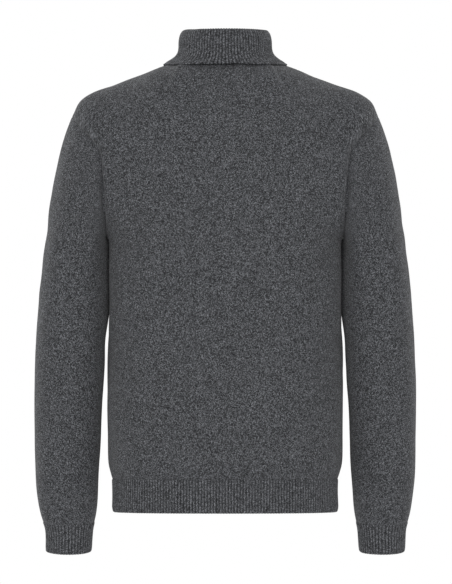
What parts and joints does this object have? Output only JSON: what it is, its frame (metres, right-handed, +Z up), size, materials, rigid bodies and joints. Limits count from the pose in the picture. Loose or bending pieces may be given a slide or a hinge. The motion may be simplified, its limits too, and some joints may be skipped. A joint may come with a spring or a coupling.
{
  "type": "turtleneck sweater",
  "caption": "Ribbed turtleneck sweater in plain heathered jersey, filled out and hollow, with set-in sleeves, a turned-down rib collar and open neck, hem and cuffs.",
  "frame": {"origin": "middle of the neck's base, level with the lower edge of the turned-down collar, where the wearer's neck and shoulders hold the sweater", "axes": "+Z up along the body, -Y towards the front of the sweater, +X towards the wearer's left"},
  "size_m": [0.584, 0.2602, 0.8046],
  "materials": {
    "jersey_knit": "heathered charcoal grey plain-knit jersey, matt with a soft nap",
    "rib_knit": "heathered charcoal grey one-by-one rib, matt with a soft nap"
  },
  "bodies": {
    "root": {"back": "jersey_knit", "front": "jersey_knit", "sleeve_left": "jersey_knit", "sleeve_right": "jersey_knit", "hem_rib_back": "rib_knit", "hem_rib_front": "rib_knit", "cuff_left": "rib_knit", "cuff_right": "rib_knit", "collar": "rib_knit"}
  },
  "joints": []
}
